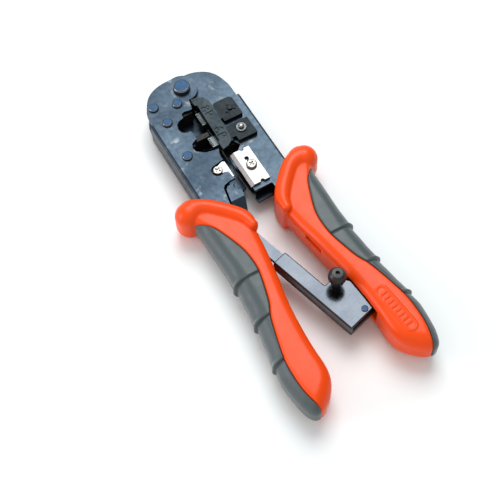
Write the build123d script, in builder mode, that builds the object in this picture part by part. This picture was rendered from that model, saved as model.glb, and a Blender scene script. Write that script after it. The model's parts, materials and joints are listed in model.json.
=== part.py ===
from build123d import *
import os

# Ratcheting crimping tool for modular plugs, lying open on its back, millimetres.
# The head pivot stands at X = Y = 0, +Y points past the head, the handles run towards -Y,
# and Z = 0 is the surface that the grips and the back of the pivot rivet rest on.

# ---- driving dimensions -------------------------------------------------------------------
MID = 10.8              # height of the plane of symmetry of frame and grips
FRAME_HALF = 6.5        # mid plane to the outer face of the fixed plates
NEST = 2.2              # how much lower the moving plates lie inside the fixed ones
PLATE = 1.8             # thickness of all frame plates
FOLD_RADIUS = 1.7       # rounded fold between a front plate and its side wall
FRAME_SIDE = 25.6       # outer face of the side walls
FRAME_END = -94.0       # lower end of the frame walls, inside the hand guards
LOBE_RADIUS = 8.5       # pivot lobe of the fixed plates
MOVING_LOBE = 8.1       # pivot lobe of the moving plates
GRIP_HALF = 10.0        # half thickness of the grips
GUARD_HALF = 10.8       # half thickness of the hand guards
GRIP_ROUND = 3.5        # edge rounding of the grips
GUARD_ROUND = 1.5       # edge rounding of the guards
PIN_FIT = 0.05          # radial clearance of a pin that turns in its hole

PIVOT_R = 3.0           # shank of the main rivet
PIVOT_HEAD_R = 4.6
PIVOT_HEAD_H = 2.8
RIVET_R = 1.6
RIVET_HEAD_R = 2.7
RIVET_HEAD_H = 1.4
RIVETS = [(-6.9, -7.9), (-18.9, -4.1), (-17.0, -16.1), (-17.8, -39.8)]

PLUG_8_WIDTH = 12.0     # die cavity for the eight-way plug
PLUG_8_Y = -21.6
PLUG_6_WIDTH = 9.9      # die cavity for the six-way plug
PLUG_6_Y = -38.1
CONTACT_PITCH = 1.02    # contact spacing of both plugs
CONTACT_SLOT = 0.5

CARRIER_PIN = (15.5, -24.2)
CARRIER_SCREW = (14.6, -38.2)
STRIP_SCREW = (-8.6, -55.0)
STRIP_RECESS_R = 3.4    # round recess of the front plate round that screw
CUTTER_SCREW = (8.0, -60.4)
CORE_RIVETS = [(20.5, -86.5), (16.5, -91.0)]    # hold the handle core in the moving plates

LINK_L = (-13.3, -88.8)     # pivot of the ratchet bar in the fixed handle
LINK_ANGLE = 15.5           # bar against -Y when the tool is open
HOUSING_PIVOT = (68.85, 17.4)   # along and across the bar, from LINK_L
PAWL_PIVOT = (72.9, 8.1)
KNOB_AT = (54.8, 8.1)
LINK_PIN_R = 2.2
BAR_Z = 11.6
BAR_THICK = 2.6
BAR_HALF = 2.8
TOOTH_PITCH = 1.6
TOOTH_DEPTH = 0.8
COVER_TOP = 15.5
COVER_WALL = 0.9
HOUSING_START = 24.9        # where the housing begins along the bar
HOUSING_END = 75.6
HOUSING_HALF = 4.05
HOUSING_STEP = 51.1         # where the housing widens towards the moving handle
BASE_BOTTOM = 8.2
BASE_TOP = 11.3

# ---- levels worked out from them ----------------------------------------------------------
FRONT_TOP = MID + FRAME_HALF
FRONT_Z = FRONT_TOP - PLATE
BACK_Z = MID - FRAME_HALF
INNER_FRONT_TOP = FRONT_TOP - NEST
INNER_FRONT_Z = INNER_FRONT_TOP - PLATE
INNER_BACK_Z = BACK_Z + NEST
INNER_BACK_TOP = INNER_BACK_Z + PLATE
BACK_TOP = BACK_Z + PLATE
CARRIER_THICK = 2.5
CARRIER_TOP = INNER_FRONT_TOP + CARRIER_THICK
MARKER_THICK = 1.2
BLADE_THICK = 1.5
CORE_THICK = 1.5
CORE_FRONT_Z = COVER_TOP + 0.4
CORE_BACK_Z = 5.0
CORE_END = -182.0
POCKET_LOW = BACK_Z - 0.2           # pockets in the grips, clear of the plates
POCKET_DEPTH = 2 * FRAME_HALF + 0.4
SLOT_LOW = BASE_BOTTOM - 0.8        # slots in the grips that the link swings in
SLOT_HIGH = COVER_TOP + 0.8
LINK_PLANE = Plane(
    origin=(*LINK_L, 0),
    x_dir=Vector(0, -1, 0).rotate(Axis.Z, LINK_ANGLE),
    z_dir=(0, 0, 1),
)

os.makedirs("parts", exist_ok=True)


# ---- shared helpers -----------------------------------------------------------------------
def save(builder, name):
    """Label a finished piece and write it to its own STEP file."""
    builder.part.label = name
    export_step(builder.part, f"parts/{name}.step")


def flip(points, side):
    """Points drawn for the +X half, moved to the wanted side."""
    return [(side * x, y) for x, y in points]


def link_level(height):
    """The link's own plane, raised to a height."""
    return LINK_PLANE.offset(height)


def link_point(along, across):
    """A point given along and across the ratchet bar, in the tool's X and Y."""
    point = LINK_PLANE.from_local_coords(Vector(along, across, 0))
    return (point.X, point.Y)


def smooth_face(points, height):
    """A face inside a closed smooth curve."""
    with BuildSketch(Plane.XY.offset(height)) as sketch:
        with BuildLine():
            Spline(*points, periodic=True)
        make_face()
    return sketch.sketch


def sharp_face(points, height, corner=0.0, plane=None):
    """A face inside a closed polygon, with its corners rounded."""
    with BuildSketch(plane or Plane.XY.offset(height)) as sketch:
        with BuildLine():
            Polyline(*points, close=True)
        make_face()
        if corner:
            fillet(sketch.vertices(), radius=corner)
    return sketch.sketch


def disc(centre, radius, height):
    """A round face at a height."""
    with BuildSketch(Plane.XY.offset(height)) as sketch:
        with Locations(centre):
            Circle(radius)
    return sketch.sketch


def slab(x_range, y_range, height):
    """A rectangular face given by its X and Y limits."""
    centre = (sum(x_range) / 2, sum(y_range) / 2)
    with BuildSketch(Plane.XY.offset(height)) as sketch:
        with Locations(centre):
            Rectangle(abs(x_range[1] - x_range[0]), abs(y_range[1] - y_range[0]))
    return sketch.sketch


# ---- outlines -----------------------------------------------------------------------------
def head_face(side, height, lobe, edge):
    """Rounded head of one half: pivot lobe, crown and the straight side."""
    if side < 0:
        crown = [(-1.3, 8.2), (-7.0, 8.1), (-12.5, 6.9), (-18.6, 3.0), (-22.9, -3.8), (-24.3, -12.6)]
    else:
        crown = [(2.0, 8.3), (8.2, 8.4), (12.4, 7.3), (17.0, 4.8), (20.9, 0.2), (23.2, -7.0), (23.6, -15.6)]
    with BuildSketch(Plane.XY.offset(height)) as sketch:
        with BuildLine():
            Spline(*crown, tangents=[(side, 0.05), (0, -1)])
            Polyline(crown[-1], *edge, crown[0])
        make_face()
        Circle(lobe)
    return sketch.sketch


FIXED_EDGE = [
    (-24.3, FRAME_END), (-8.5, FRAME_END), (-8.5, -85.5), (-13.8, -82.0), (-12.7, -74.1),
    (-11.2, -65.9), (-9.8, -64.4), (-6.2, -63.5), (-3.2, -63.4), (-3.2, -47.0), (-1.8, -43.6),
    (-1.8, -15.0), (-0.4, -9.0), (0.0, 0.0),
]
MOVING_EDGE = [
    (23.6, FRAME_END), (13.0, FRAME_END), (12.2, -73.8), (2.3, -73.8), (2.3, -51.2), (6.6, -48.6),
    (9.8, -45.6), (7.2, -41.0), (6.8, -17.0), (1.2, -13.4), (0.4, -8.8), (0.0, 0.0),
]
FIXED_BACK_EDGE = [
    (-24.3, FRAME_END), (-8.5, FRAME_END), (-9.0, -71.5), (-6.4, -67.0), (1.8, -65.0), (1.8, -8.0),
    (0.0, 0.0),
]
MOVING_BACK_EDGE = [
    (23.6, FRAME_END), (13.0, FRAME_END), (12.6, -76.2), (2.6, -76.8), (2.2, -74.2), (3.6, -72.4),
    (2.4, -70.2), (2.4, -7.0), (0.0, 0.0),
]
CAVITY_8 = [
    (2.0, -14.4), (-3.5, -14.7), (-6.2, -14.0), (-8.0, -14.8), (-8.5, -17.4), (-11.2, -18.0),
    (-13.2, -19.6), (-14.0, -22.6), (-13.4, -25.2), (-11.7, -26.4), (-8.8, -26.8), (-8.6, -33.6),
    (2.0, -33.6),
]
CAVITY_6 = [
    (2.0, -33.0), (-9.3, -32.7), (-12.2, -34.2), (-13.1, -36.9), (-12.6, -39.3), (-8.8, -42.3),
    (-3.1, -43.5), (2.0, -43.6),
]

# Outline of a grip with its guard left out, from the inner side of the neck clockwise.
GRIP_OUTLINE = [
    (9.8, -105.0), (12.4, -120.0), (15.4, -137.0), (17.0, -152.0), (17.4, -166.0), (18.6, -179.4),
    (23.6, -186.4), (30.0, -190.4), (35.4, -187.6), (37.6, -178.6), (38.3, -167.0), (36.6, -155.0),
    (34.4, -138.0), (33.0, -119.0), (33.1, -98.0), (34.2, -80.0), (29.0, -72.0), (19.5, -76.4),
    (11.2, -85.4), (8.3, -95.0),
]
# Guard that stops the hand from slipping onto the jaws.
GUARD_OUTLINE = [
    (39.8, -67.6), (36.8, -62.8), (30.2, -63.0), (22.6, -67.0), (15.4, -73.6), (9.6, -80.6),
    (6.9, -87.6), (7.4, -93.6), (11.4, -94.6), (15.2, -88.6), (21.6, -80.8), (28.6, -75.6),
    (35.6, -73.6),
]
# Line on the flat faces where the hard grip ends and the soft overmould begins.
SEAM_LINE = [
    (34.4, -76.6), (27.4, -83.8), (22.8, -94.0), (19.9, -107.6), (21.2, -121.5), (25.4, -135.8),
    (30.0, -149.6), (33.2, -164.0), (32.6, -180.4), (28.8, -188.8),
]


def seam_face(side, height):
    """Everything outside the seam line, which belongs to the soft overmould."""
    line = flip(SEAM_LINE, side)
    beyond = flip([(26.0, -196.0), (48.0, -196.0), (48.0, -74.0)], side)
    with BuildSketch(Plane.XY.offset(height)) as sketch:
        with BuildLine():
            Spline(*line)
            Polyline(line[-1], *beyond, line[0])
        make_face()
    return sketch.sketch


# ---- fixed half: plates, dies and rivets --------------------------------------------------
LINK_FLANGE = flip([
    (11.0, -84.0), (26.0, -84.0), (29.5, -120.0), (33.5, -150.0), (33.5, -178.0), (27.0, CORE_END),
    (22.0, -176.0), (22.0, -140.0), (19.0, -118.0), (17.5, -98.0), (9.2, -94.0),
], -1)
STRIP_NOTCH = [
    (-1.0, -50.4), (-4.1, -50.7), (-8.7, -51.6), (-8.7, -58.2), (-5.8, -57.7), (-4.2, -58.4),
    (-3.9, -62.0), (-3.0, -63.0), (-1.0, -63.4),
]

with BuildPart() as fixed_front_plate:
    extrude(head_face(-1, FRONT_Z, LOBE_RADIUS, FIXED_EDGE), amount=PLATE)
    extrude(sharp_face(LINK_FLANGE, FRONT_Z, 1.5), amount=PLATE)
    wall_x = (-FRAME_SIDE, -FRAME_SIDE + PLATE)
    extrude(slab(wall_x, (-13.6, FRAME_END), BACK_TOP), amount=FRONT_TOP - BACK_TOP)
    extrude(slab((-FRAME_SIDE, -22.0), (-13.6, FRAME_END), FRONT_Z), amount=PLATE)
    fold = fixed_front_plate.edges().filter_by(Axis.Y).filter_by(
        lambda e: abs(e.center().X + FRAME_SIDE) < 0.01 and abs(e.center().Z - FRONT_TOP) < 0.01)
    fillet(fold, radius=FOLD_RADIUS)
    for cavity in (CAVITY_8, CAVITY_6):
        extrude(sharp_face(cavity, FRONT_Z, 0.5), amount=PLATE, mode=Mode.SUBTRACT)
    extrude(sharp_face(STRIP_NOTCH, FRONT_Z), amount=PLATE, mode=Mode.SUBTRACT)
    extrude(disc(STRIP_SCREW, STRIP_RECESS_R, FRONT_Z), amount=PLATE, mode=Mode.SUBTRACT)
    extrude(disc((0, 0), PIVOT_R, FRONT_Z), amount=PLATE, mode=Mode.SUBTRACT)
    extrude(disc(LINK_L, LINK_PIN_R, FRONT_Z), amount=PLATE, mode=Mode.SUBTRACT)
    for place in RIVETS:
        extrude(disc(place, RIVET_R, FRONT_Z), amount=PLATE, mode=Mode.SUBTRACT)
save(fixed_front_plate, "fixed_front_plate")

with BuildPart() as fixed_back_plate:
    extrude(head_face(-1, BACK_Z, LOBE_RADIUS, FIXED_BACK_EDGE), amount=PLATE)
    extrude(slab((-FRAME_SIDE, -22.0), (-13.6, FRAME_END), BACK_Z), amount=PLATE)
    extrude(sharp_face(LINK_FLANGE, BACK_Z, 1.5), amount=PLATE)
    extrude(disc((0, 0), PIVOT_R, BACK_Z), amount=PLATE, mode=Mode.SUBTRACT)
    extrude(disc(LINK_L, LINK_PIN_R, BACK_Z), amount=PLATE, mode=Mode.SUBTRACT)
    for place in RIVETS:
        extrude(disc(place, RIVET_R, BACK_Z), amount=PLATE, mode=Mode.SUBTRACT)
save(fixed_back_plate, "fixed_back_plate")

DIE_HEIGHT = FRONT_Z - BACK_TOP
DIE_OUTLINE = [
    (-21.5, -10.4), (-2.2, -10.4), (-2.2, -46.6), (-5.2, -48.6), (-5.2, -61.6), (-21.5, -61.6),
]
with BuildPart() as die_block:
    extrude(sharp_face(DIE_OUTLINE, BACK_TOP, 1.0), amount=DIE_HEIGHT)
    extrude(slab((-6.0, -1.4), (-30.4, -33.0), BACK_TOP), amount=DIE_HEIGHT)
    for width, centre_y, latch, floor in (
        (PLUG_8_WIDTH, PLUG_8_Y, 6.2, -11.5), (PLUG_6_WIDTH, PLUG_6_Y, 6.2, -10.6),
    ):
        half = width / 2
        extrude(slab((floor, 0), (centre_y - half, centre_y + half), BACK_TOP),
                amount=DIE_HEIGHT, mode=Mode.SUBTRACT)
        extrude(slab((floor - 2.4, floor), (centre_y - latch / 2, centre_y + latch / 2), BACK_TOP),
                amount=DIE_HEIGHT, mode=Mode.SUBTRACT)
    extrude(slab((-9.0, 0), (-27.0, -30.4), FRONT_Z - 4.0), amount=4.0, mode=Mode.SUBTRACT)
    for place in RIVETS[2:]:
        extrude(disc(place, RIVET_R, BACK_TOP), amount=DIE_HEIGHT, mode=Mode.SUBTRACT)
    extrude(disc(STRIP_SCREW, 1.2, FRONT_Z - 5.0), amount=5.0, mode=Mode.SUBTRACT)
save(die_block, "die_block")

with BuildPart() as frame_rivets:
    for place in RIVETS:
        extrude(disc(place, RIVET_R, BACK_Z), amount=FRONT_TOP - BACK_Z)
        extrude(disc(place, RIVET_HEAD_R, FRONT_TOP), amount=RIVET_HEAD_H)
        extrude(disc(place, RIVET_HEAD_R, BACK_Z - RIVET_HEAD_H), amount=RIVET_HEAD_H)
    rims = frame_rivets.edges().filter_by(GeomType.CIRCLE).filter_by(
        lambda e: abs(e.center().Z - (FRONT_TOP + RIVET_HEAD_H)) < 0.01)
    fillet(rims, radius=0.8)
save(frame_rivets, "frame_rivets")

with BuildPart() as main_pivot_rivet:
    extrude(disc((0, 0), PIVOT_R, BACK_Z), amount=FRONT_TOP - BACK_Z)
    extrude(disc((0, 0), PIVOT_HEAD_R, 0), amount=BACK_Z)
    extrude(disc((0, 0), PIVOT_HEAD_R, FRONT_TOP), amount=PIVOT_HEAD_H)
    fillet(main_pivot_rivet.edges().sort_by(Axis.Z)[-1], radius=1.2)
save(main_pivot_rivet, "main_pivot_rivet")

WASHER_GAP = 0.05
with BuildPart() as pivot_washers:
    for low, high in ((BACK_TOP, INNER_BACK_Z), (INNER_FRONT_TOP, FRONT_Z)):
        thickness = high - low - 2 * WASHER_GAP
        extrude(disc((0, 0), 6.4, low + WASHER_GAP), amount=thickness)
        extrude(disc((0, 0), PIVOT_R + PIN_FIT, low + WASHER_GAP), amount=thickness,
                mode=Mode.SUBTRACT)
save(pivot_washers, "pivot_washers")

STRIP_BLADE = [
    (-2.9, -51.6), (-2.9, -61.6), (-3.6, -61.8), (-4.0, -57.9), (-6.0, -57.2), (-8.6, -57.2),
    (-8.6, -52.8), (-4.2, -51.0),
]
with BuildPart() as stripping_blade:
    extrude(sharp_face(STRIP_BLADE, FRONT_Z), amount=1.1)
    extrude(disc(STRIP_SCREW, 2.5, FRONT_Z), amount=1.1)
    extrude(disc(STRIP_SCREW, 1.2, FRONT_Z), amount=1.1, mode=Mode.SUBTRACT)
save(stripping_blade, "stripping_blade")

with BuildPart() as stripping_blade_screw:
    extrude(disc(STRIP_SCREW, 1.15, FRONT_Z - 5.0), amount=6.1)
    extrude(disc(STRIP_SCREW, 2.5, FRONT_Z + 1.1), amount=1.2)
    fillet(stripping_blade_screw.edges().sort_by(Axis.Z)[-1], radius=0.5)
    with BuildSketch(Plane.XY.offset(FRONT_Z + 1.6)) as cross:
        with Locations(STRIP_SCREW):
            Rectangle(3.2, 0.8, rotation=35)
            Rectangle(0.8, 3.2, rotation=35)
    extrude(cross.sketch, amount=1.0, mode=Mode.SUBTRACT)
save(stripping_blade_screw, "stripping_blade_screw")

STOP_TOP = FRONT_TOP - 0.8
STOP_OUTLINE = [
    (-3.8, -65.2), (-8.8, -65.3), (-10.1, -66.8), (-11.6, -74.6), (-12.6, -84.0), (-7.0, -84.0),
    (-4.4, -76.4), (-3.7, -72.0),
]
STOP_NOTCH = (-3.8, -67.4)
STOP_BEND = (-10.0, -74.2)      # where the block's face starts to slope away
with BuildPart() as stop_block:
    extrude(sharp_face(STOP_OUTLINE, BACK_TOP), amount=STOP_TOP - BACK_TOP)
    extrude(disc(STOP_NOTCH, 2.4, BACK_TOP), amount=STOP_TOP - BACK_TOP, mode=Mode.SUBTRACT)
    with BuildSketch(Plane.YZ.offset(-16.0)) as slope:
        with BuildLine():
            Polyline((STOP_BEND[1], STOP_TOP), (-86.0, STOP_TOP), (-86.0, STOP_TOP - 7.0), close=True)
        make_face()
    extrude(slope.sketch, amount=16.0, mode=Mode.SUBTRACT)
save(stop_block, "stop_block")

# ---- moving half: plates, punches, marker and cutter --------------------------------------
with BuildPart() as moving_front_plate:
    extrude(head_face(1, INNER_FRONT_Z, MOVING_LOBE, MOVING_EDGE), amount=PLATE)
    side_y = (-16.8, FRAME_END)
    wall_low = INNER_BACK_TOP
    extrude(slab((FRAME_SIDE - PLATE, FRAME_SIDE), side_y, wall_low), amount=INNER_FRONT_TOP - wall_low)
    extrude(slab((22.0, FRAME_SIDE), side_y, INNER_FRONT_Z), amount=PLATE)
    fold = moving_front_plate.edges().filter_by(Axis.Y).filter_by(
        lambda e: abs(e.center().X - FRAME_SIDE) < 0.01 and abs(e.center().Z - INNER_FRONT_TOP) < 0.01)
    fillet(fold, radius=FOLD_RADIUS)
    extrude(disc((0, 0), PIVOT_R + PIN_FIT, INNER_FRONT_Z), amount=PLATE, mode=Mode.SUBTRACT)
    for place, radius in ((CARRIER_PIN, 1.6), (CARRIER_SCREW, 1.5), (CUTTER_SCREW, 1.5)):
        extrude(disc(place, radius, INNER_FRONT_Z), amount=PLATE, mode=Mode.SUBTRACT)
    for place in CORE_RIVETS:
        extrude(disc(place, RIVET_R, INNER_FRONT_Z), amount=PLATE, mode=Mode.SUBTRACT)
save(moving_front_plate, "moving_front_plate")

with BuildPart() as moving_back_plate:
    extrude(head_face(1, INNER_BACK_Z, MOVING_LOBE, MOVING_BACK_EDGE), amount=PLATE)
    extrude(slab((22.0, FRAME_SIDE), (-16.8, FRAME_END), INNER_BACK_Z), amount=PLATE)
    extrude(disc((0, 0), PIVOT_R + PIN_FIT, INNER_BACK_Z), amount=PLATE, mode=Mode.SUBTRACT)
    for place, radius in ((CARRIER_PIN, 1.6), (CARRIER_SCREW, 1.5)):
        extrude(disc(place, radius, INNER_BACK_Z), amount=PLATE, mode=Mode.SUBTRACT)
    for place in CORE_RIVETS:
        extrude(disc(place, RIVET_R, INNER_BACK_Z), amount=PLATE, mode=Mode.SUBTRACT)
save(moving_back_plate, "moving_back_plate")

with BuildPart() as pivot_bushing:
    extrude(disc((0, 0), 5.2, INNER_BACK_TOP), amount=INNER_FRONT_Z - INNER_BACK_TOP)
    extrude(disc((0, 0), PIVOT_R + PIN_FIT, INNER_BACK_TOP), amount=10, mode=Mode.SUBTRACT)
save(pivot_bushing, "pivot_bushing")

HOLDER_LEFT = 4.0
with BuildPart() as punch_holder:
    extrude(slab((HOLDER_LEFT, 18.6), (-15.0, -43.0), INNER_BACK_TOP),
            amount=INNER_FRONT_Z - INNER_BACK_TOP)
    for place, radius in ((CARRIER_PIN, 1.6), (CARRIER_SCREW, 1.5)):
        extrude(disc(place, radius, INNER_BACK_TOP), amount=10, mode=Mode.SUBTRACT)
save(punch_holder, "punch_holder")


def punch(left, centre_y, contacts, low, high):
    """Comb-shaped punch whose teeth push the contacts of one plug home."""
    half = (contacts * CONTACT_PITCH + 0.1) / 2
    with BuildPart() as comb:
        extrude(slab((left, HOLDER_LEFT), (centre_y - half, centre_y + half), low), amount=high - low)
        for index in range(contacts - 1):
            y = centre_y + (index - (contacts - 2) / 2) * CONTACT_PITCH
            gap = (y - CONTACT_SLOT / 2, y + CONTACT_SLOT / 2)
            extrude(slab((left, left + 1.1), gap, low), amount=high - low, mode=Mode.SUBTRACT)
    return comb


punch_8 = punch(-1.3, -21.2, 8, 10.9, INNER_FRONT_TOP)
save(punch_8, "punch_8")
punch_6 = punch(-3.2, -37.0, 6, 10.9, INNER_FRONT_TOP)
save(punch_6, "punch_6")

with BuildPart() as strain_relief_bars:
    for left, centre_y, half in ((-0.9, -21.2, 3.6), (-2.4, -37.0, 2.6)):
        extrude(slab((left, HOLDER_LEFT), (centre_y - half, centre_y + half), INNER_BACK_TOP), amount=2.0)
    fillet(strain_relief_bars.edges().filter_by(Axis.Y).group_by(Axis.X)[0], radius=0.5)
save(strain_relief_bars, "strain_relief_bars")

CARRIER_8 = [
    (1.4, -18.8), (9.2, -18.8), (9.2, -17.4), (18.4, -17.4), (19.9, -19.0), (19.9, -30.4), (9.2, -30.4),
    (9.2, -28.0), (1.4, -28.0),
]
CARRIER_6 = [
    (1.2, -33.6), (9.8, -33.6), (20.4, -33.6), (20.7, -44.6), (9.8, -44.6), (9.8, -41.4), (7.4, -41.4),
    (7.4, -43.0), (1.2, -43.0),
]
with BuildPart() as carrier_8:
    extrude(sharp_face(CARRIER_8, INNER_FRONT_TOP, 0.4), amount=CARRIER_THICK)
    extrude(disc(CARRIER_PIN, 1.6, INNER_FRONT_TOP), amount=CARRIER_THICK, mode=Mode.SUBTRACT)
save(carrier_8, "carrier_8")

with BuildPart() as carrier_6:
    extrude(sharp_face(CARRIER_6, INNER_FRONT_TOP, 0.4), amount=CARRIER_THICK)
    extrude(disc(CARRIER_SCREW, 1.5, INNER_FRONT_TOP), amount=CARRIER_THICK, mode=Mode.SUBTRACT)
save(carrier_6, "carrier_6")

MARKER_OUTLINE = [
    (0.0, -9.9), (0.0, -14.6), (1.3, -15.0), (0.6, -40.4), (-0.4, -40.6), (-0.4, -46.1), (3.1, -45.3),
    (5.6, -43.5), (6.8, -41.0), (8.3, -19.2), (7.9, -15.2), (6.3, -11.9), (3.7, -10.6), (1.8, -10.1),
]
NUMERAL_DEPTH = 0.4
NUMERAL_X = 4.4
EIGHT_Y = -19.0
SIX_Y = -34.2
STROKE = 0.3


def ring_stroke(centre, radius, squash=1.0):
    """One bowl of an engraved numeral, drawn in the sketch that is open."""
    with Locations(centre):
        Ellipse(radius + STROKE, squash * radius + STROKE)
        Ellipse(radius - STROKE, squash * radius - STROKE, mode=Mode.SUBTRACT)


with BuildPart() as marker_plate:
    extrude(sharp_face(MARKER_OUTLINE, CARRIER_TOP), amount=MARKER_THICK)
    with BuildSketch(Plane.XY.offset(CARRIER_TOP + MARKER_THICK)) as eight:
        ring_stroke((NUMERAL_X - 1.2, EIGHT_Y), 1.1, 1.2)
    extrude(eight.sketch, amount=-NUMERAL_DEPTH, mode=Mode.SUBTRACT)
    with BuildSketch(Plane.XY.offset(CARRIER_TOP + MARKER_THICK)) as eight_top:
        ring_stroke((NUMERAL_X + 1.1, EIGHT_Y), 0.9, 1.2)
    extrude(eight_top.sketch, amount=-NUMERAL_DEPTH, mode=Mode.SUBTRACT)
    with BuildSketch(Plane.XY.offset(CARRIER_TOP + MARKER_THICK)) as six:
        ring_stroke((NUMERAL_X - 1.9, SIX_Y), 1.1, 1.2)
    extrude(six.sketch, amount=-NUMERAL_DEPTH, mode=Mode.SUBTRACT)
    with BuildSketch(Plane.XY.offset(CARRIER_TOP + MARKER_THICK)) as six_stem:
        with BuildLine() as stem_line:
            ThreePointArc((NUMERAL_X - 1.9, SIX_Y + 1.4), (NUMERAL_X + 0.4, SIX_Y + 1.1),
                          (NUMERAL_X + 1.5, SIX_Y - 0.7))
        trace(line_width=2 * STROKE)
    extrude(six_stem.sketch, amount=-NUMERAL_DEPTH, mode=Mode.SUBTRACT)
    for middle_x, letter_y in ((NUMERAL_X, EIGHT_Y - 2.9), (NUMERAL_X - 0.8, SIX_Y - 2.9)):
        with BuildSketch(Plane.XY.offset(CARRIER_TOP + MARKER_THICK)) as letter:
            with Locations((middle_x, letter_y)):
                Rectangle(4.6, 2 * STROKE)
            with BuildLine():
                Polyline((middle_x + 2.0, letter_y), (middle_x + 2.0, letter_y - 1.6),
                         (middle_x + 1.5, letter_y - 2.1), (middle_x + 0.4, letter_y - 2.1),
                         (middle_x - 0.1, letter_y - 1.6), (middle_x - 0.1, letter_y))
            trace(line_width=2 * STROKE)
        extrude(letter.sketch, amount=-NUMERAL_DEPTH, mode=Mode.SUBTRACT)
save(marker_plate, "marker_plate")

with BuildPart() as carrier_pin:
    extrude(disc(CARRIER_PIN, 1.6, INNER_BACK_Z), amount=CARRIER_TOP + 0.9 - INNER_BACK_Z)
    fillet(carrier_pin.edges().sort_by(Axis.Z)[-1], radius=0.4)
    with BuildSketch(Plane.XY.offset(CARRIER_TOP)) as lobes:
        with Locations(CARRIER_PIN):
            with PolarLocations(2.6, 3, start_angle=-30):
                Circle(0.75)
    extrude(lobes.sketch, amount=0.5)
save(carrier_pin, "carrier_pin")

with BuildPart() as carrier_screw:
    extrude(disc(CARRIER_SCREW, 1.5, INNER_BACK_Z), amount=CARRIER_TOP + 2.4 - INNER_BACK_Z)
    fillet(carrier_screw.edges().sort_by(Axis.Z)[-1], radius=1.0)
save(carrier_screw, "carrier_screw")

with BuildPart() as carrier_nut:
    extrude(disc(CARRIER_SCREW, 2.9, CARRIER_TOP), amount=0.8)
    extrude(disc(CARRIER_SCREW, 1.5, CARRIER_TOP), amount=0.8, mode=Mode.SUBTRACT)
    fillet(carrier_nut.edges().filter_by(GeomType.CIRCLE).group_by(Axis.Z)[-1].sort_by(SortBy.RADIUS)[-1],
           radius=0.35)
save(carrier_nut, "carrier_nut")

CUTTER_Y = (-49.4, -71.4)
with BuildPart() as cutter_blade:
    extrude(slab((1.6, 12.4), CUTTER_Y, INNER_FRONT_TOP), amount=BLADE_THICK)
    edge_line = cutter_blade.edges().filter_by(Axis.Y).filter_by(
        lambda e: abs(e.center().X - 1.6) < 0.01 and e.center().Z > INNER_FRONT_TOP + 1)
    left_face = cutter_blade.faces().sort_by(Axis.X)[0]
    chamfer(edge_line, length=BLADE_THICK - 0.1, length2=1.9, reference=left_face)
    for end_y in CUTTER_Y:
        extrude(disc((8.2, end_y), 1.2, INNER_FRONT_TOP), amount=BLADE_THICK, mode=Mode.SUBTRACT)
    extrude(disc(CUTTER_SCREW, 1.5, INNER_FRONT_TOP), amount=BLADE_THICK, mode=Mode.SUBTRACT)
    extrude(slab((7.2, 8.4), (-55.2, -60.4), INNER_FRONT_TOP), amount=BLADE_THICK, mode=Mode.SUBTRACT)
    extrude(disc((7.8, -55.6), 1.2, INNER_FRONT_TOP), amount=BLADE_THICK, mode=Mode.SUBTRACT)
save(cutter_blade, "cutter_blade")

with BuildPart() as cutter_screw:
    extrude(disc(CUTTER_SCREW, 1.5, INNER_FRONT_Z), amount=PLATE + BLADE_THICK)
    extrude(disc(CUTTER_SCREW, 2.8, INNER_FRONT_TOP + BLADE_THICK), amount=1.5)
    fillet(cutter_screw.edges().sort_by(Axis.Z)[-1], radius=0.7)
    with BuildSketch(Plane.XY.offset(INNER_FRONT_TOP + BLADE_THICK + 0.7)) as cross:
        with Locations(CUTTER_SCREW):
            Rectangle(3.0, 0.7, rotation=35)
            Rectangle(0.7, 3.0, rotation=35)
    extrude(cross.sketch, amount=1.0, mode=Mode.SUBTRACT)
save(cutter_screw, "cutter_screw")

# ---- moving handle: steel core and its rivets ---------------------------------------------
CORE_OUTLINE = [
    (15.5, -82.0), (26.5, -82.0), (29.5, -120.0), (33.5, -150.0), (33.5, -178.0), (27.0, CORE_END),
    (22.0, -176.0), (18.8, -160.0), (18.8, -146.0), (20.0, -136.0), (18.5, -118.0), (14.0, -98.0),
]
CORE_WEB = [
    (24.7, -97.0), (26.4, -97.0), (29.3, -120.0), (33.3, -150.0), (33.3, -176.0), (31.6, -176.0),
    (31.6, -150.4), (27.6, -120.4),
]
HOUSING_PIN = link_point(*HOUSING_PIVOT)
with BuildPart() as moving_handle_core:
    for level in (CORE_BACK_Z, CORE_FRONT_Z):
        extrude(sharp_face(CORE_OUTLINE, level, 1.5), amount=CORE_THICK)
    extrude(sharp_face(CORE_WEB, CORE_BACK_Z + CORE_THICK), amount=CORE_FRONT_Z - CORE_BACK_Z - CORE_THICK)
    for level in (CORE_BACK_Z, CORE_FRONT_Z):
        extrude(disc(HOUSING_PIN, LINK_PIN_R, level), amount=CORE_THICK, mode=Mode.SUBTRACT)
        for place in CORE_RIVETS:
            extrude(disc(place, RIVET_R, level), amount=CORE_THICK, mode=Mode.SUBTRACT)
save(moving_handle_core, "moving_handle_core")

with BuildPart() as core_rivets:
    for place in CORE_RIVETS:
        extrude(disc(place, RIVET_R, CORE_BACK_Z), amount=CORE_FRONT_Z + CORE_THICK - CORE_BACK_Z)
save(core_rivets, "core_rivets")

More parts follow.
